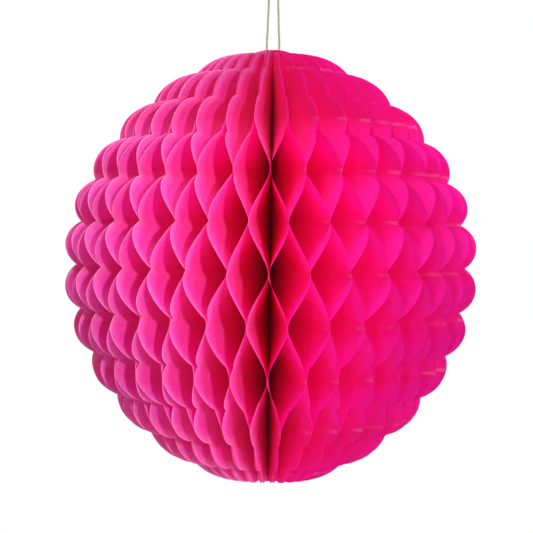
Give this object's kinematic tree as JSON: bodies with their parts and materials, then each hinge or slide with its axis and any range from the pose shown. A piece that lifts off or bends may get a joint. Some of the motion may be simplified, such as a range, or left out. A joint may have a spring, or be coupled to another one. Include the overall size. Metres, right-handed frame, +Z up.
{
  "type": "honeycomb paper ball",
  "caption": "Hanging honeycomb ball of scalloped hot-pink tissue leaves, glued on alternate lines into diamond cells and fanned all round an upright axis, with a thin cord loop at the top.",
  "frame": {"origin": "where the cord loop hangs: the underside of its top bend, on the ball's axis", "axes": "+Z up along the ball's axis, X across the two strands of the cord, which lie in the XZ plane, the pictured side towards -Y"},
  "size_m": [0.2816, 0.2816, 0.3396],
  "materials": {
    "tissue": "matt translucent tissue paper, dyed hot pink",
    "cord": "matt twisted cotton cord, natural off-white",
    "thread": "matt cotton thread"
  },
  "bodies": {
    "root": {"leaf_pair_01": "tissue", "leaf_pair_02": "tissue", "leaf_pair_03": "tissue", "leaf_pair_04": "tissue", "leaf_pair_05": "tissue", "leaf_pair_06": "tissue", "leaf_pair_07": "tissue", "leaf_pair_08": "tissue", "leaf_pair_09": "tissue", "leaf_pair_10": "tissue", "leaf_pair_11": "tissue", "leaf_pair_12": "tissue", "leaf_pair_13": "tissue", "leaf_pair_14": "tissue", "leaf_pair_15": "tissue", "leaf_pair_16": "tissue", "leaf_pair_17": "tissue", "leaf_pair_18": "tissue", "leaf_pair_19": "tissue", "leaf_pair_20": "tissue", "leaf_pair_21": "tissue", "leaf_pair_22": "tissue", "leaf_pair_23": "tissue", "leaf_pair_24": "tissue", "leaf_pair_25": "tissue", "leaf_pair_26": "tissue", "leaf_pair_27": "tissue", "leaf_pair_28": "tissue", "leaf_pair_29": "tissue", "leaf_pair_30": "tissue", "leaf_pair_31": "tissue", "leaf_pair_32": "tissue", "leaf_pair_33": "tissue", "leaf_pair_34": "tissue", "hanging_cord": "cord", "spine_tie_top": "thread", "spine_tie_bottom": "thread"}
  },
  "joints": []
}
